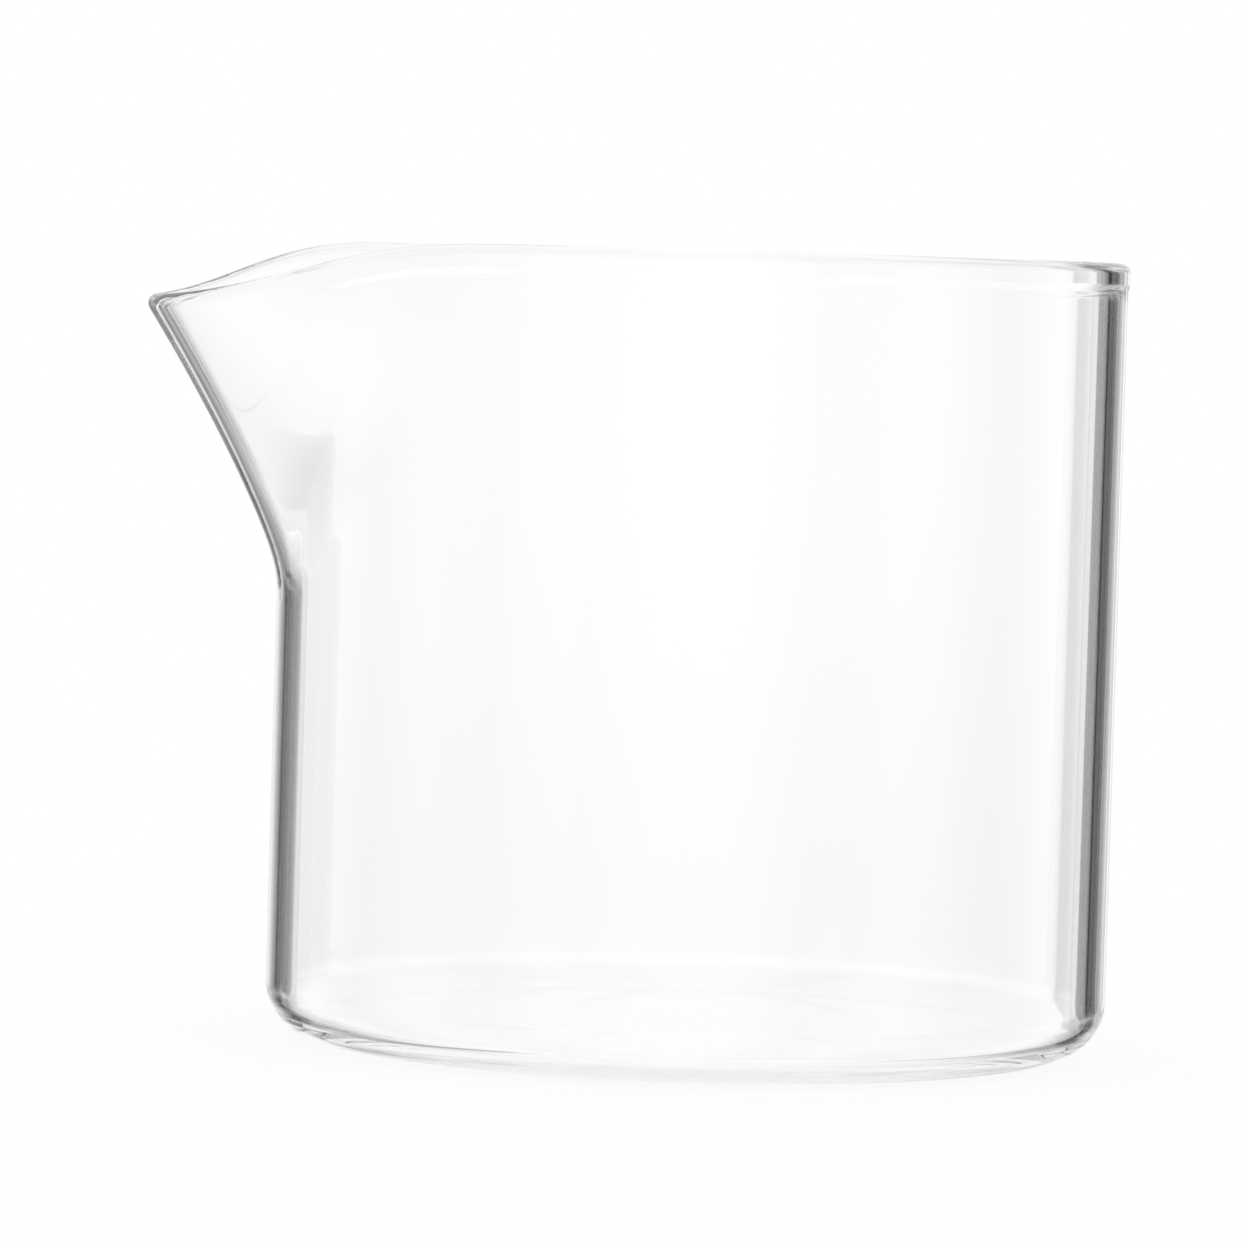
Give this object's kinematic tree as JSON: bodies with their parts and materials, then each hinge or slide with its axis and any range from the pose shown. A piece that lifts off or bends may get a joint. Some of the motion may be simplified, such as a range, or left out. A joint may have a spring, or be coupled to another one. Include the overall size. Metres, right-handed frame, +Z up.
{
  "type": "pouring beaker",
  "caption": "Squat straight-walled clear glass beaker with a fire-polished lip bead, a rounded heel, a flat base and a pulled pouring spout.",
  "frame": {"origin": "centre of the underside of the flat base, on the axis of the round barrel", "axes": "+Z up along the barrel's axis, spout towards -X, so that the beaker mirrors across the XZ plane"},
  "size_m": [0.0933, 0.0804, 0.0755],
  "materials": {
    "glass": "clear, polished"
  },
  "bodies": {
    "root": {"beaker_body": "glass"}
  },
  "joints": []
}
